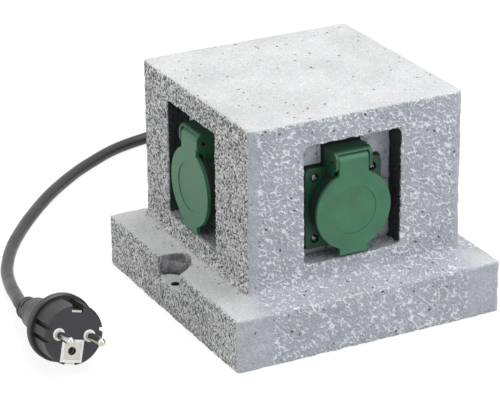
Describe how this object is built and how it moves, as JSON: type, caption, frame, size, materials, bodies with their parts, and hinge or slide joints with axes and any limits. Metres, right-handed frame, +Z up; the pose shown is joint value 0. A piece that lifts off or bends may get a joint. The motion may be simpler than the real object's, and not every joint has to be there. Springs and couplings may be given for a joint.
{
  "type": "garden socket",
  "caption": "Cast stone block with a lidded earthed socket in each side, on a square base, with a supply cord and plug.",
  "frame": {"origin": "centre of the stone base's underside, at ground level", "axes": "+Z up; -Y towards the front socket; the supply cord leaves the base towards +Y; the plug lies on the -X side"},
  "size_m": [0.3145, 0.3563, 0.139],
  "materials": {
    "cast_stone": "cast stone with a rough, worm-marked surface and small pits",
    "black_plastic": "moulded plastic, fine grain",
    "black_rubber": "soft rubber, matt",
    "steel": "zinc-plated steel",
    "grey_plastic": "speckled plastic, matt",
    "green_plastic": "moulded plastic, half gloss",
    "dark_green_plastic": "moulded plastic, matt",
    "brass": "drawn brass",
    "nickel": "nickel plate",
    "light_plastic": "moulded plastic, half gloss",
    "brown_sheath": "core sheath",
    "blue_sheath": "core sheath",
    "green_yellow_sheath": "core sheath",
    "cord_rubber": "rubber sheath, matt",
    "plug_rubber": "moulded rubber, matt"
  },
  "bodies": {
    "block": {"stone_body": "cast_stone", "bottom_plate": "black_plastic", "bottom_seal": "black_rubber", "bottom_screws": "steel", "inner_box": "grey_plastic", "inner_box_screws": "steel", "socket_body_front": "dark_green_plastic", "socket_body_right": "dark_green_plastic", "socket_body_back": "dark_green_plastic", "socket_body_left": "dark_green_plastic", "socket_insert_front": "dark_green_plastic", "socket_insert_right": "dark_green_plastic", "socket_insert_back": "dark_green_plastic", "socket_insert_left": "dark_green_plastic", "contacts_front": "brass", "contacts_right": "brass", "contacts_back": "brass", "contacts_left": "brass", "earth_clip_front": "nickel", "earth_clip_right": "nickel", "earth_clip_back": "nickel", "earth_clip_left": "nickel", "gasket_front": "black_rubber", "gasket_right": "black_rubber", "gasket_back": "black_rubber", "gasket_left": "black_rubber", "hinge_pin_front": "brass", "hinge_pin_right": "brass", "hinge_pin_back": "brass", "hinge_pin_left": "brass", "lid_spring_front": "steel", "lid_spring_right": "steel", "lid_spring_back": "steel", "lid_spring_left": "steel", "flange_screws": "steel", "terminal_block": "light_plastic", "terminal_screws": "brass", "live_wires": "brown_sheath", "neutral_wires": "blue_sheath", "earth_wires": "green_yellow_sheath", "supply_cord": "cord_rubber", "cord_clamp": "black_plastic", "cord_clamp_screws": "steel", "cord_boot": "plug_rubber", "cord_to_coil": "cord_rubber", "cord_coil": "cord_rubber", "coil_tie": "black_plastic", "cord_to_plug": "cord_rubber", "plug_body": "plug_rubber", "plug_bridge": "light_plastic", "plug_pins": "nickel", "plug_earth_contacts": "nickel"},
    "lid_front": {"lid_front": "green_plastic", "lid_seal_front": "black_rubber"},
    "lid_right": {"lid_right": "green_plastic", "lid_seal_right": "black_rubber"},
    "lid_back": {"lid_back": "green_plastic", "lid_seal_back": "black_rubber"},
    "lid_left": {"lid_left": "green_plastic", "lid_seal_left": "black_rubber"}
  },
  "joints": [
    {"name": "lid_hinge_front", "type": "hinge", "parent": "block", "child": "lid_front", "pos_m": [-0.0032, -0.0672, 0.1094], "axis": [-1, 0, 0], "range_deg": [0, 90], "stiffness_Nm_per_rad": 0.02, "springref_deg": -68.75, "deforming": ["lid_spring_front"]},
    {"name": "lid_hinge_right", "type": "hinge", "parent": "block", "child": "lid_right", "pos_m": [0.0672, -0.005, 0.1094], "axis": [0, -1, 0], "range_deg": [0, 90], "stiffness_Nm_per_rad": 0.02, "springref_deg": -68.75, "deforming": ["lid_spring_right"]},
    {"name": "lid_hinge_back", "type": "hinge", "parent": "block", "child": "lid_back", "pos_m": [0.0032, 0.0672, 0.1094], "axis": [1, 0, 0], "range_deg": [0, 90], "stiffness_Nm_per_rad": 0.02, "springref_deg": -68.75, "deforming": ["lid_spring_back"]},
    {"name": "lid_hinge_left", "type": "hinge", "parent": "block", "child": "lid_left", "pos_m": [-0.0672, 0.005, 0.1094], "axis": [0, 1, 0], "range_deg": [0, 90], "stiffness_Nm_per_rad": 0.02, "springref_deg": -68.75, "deforming": ["lid_spring_left"]}
  ]
}
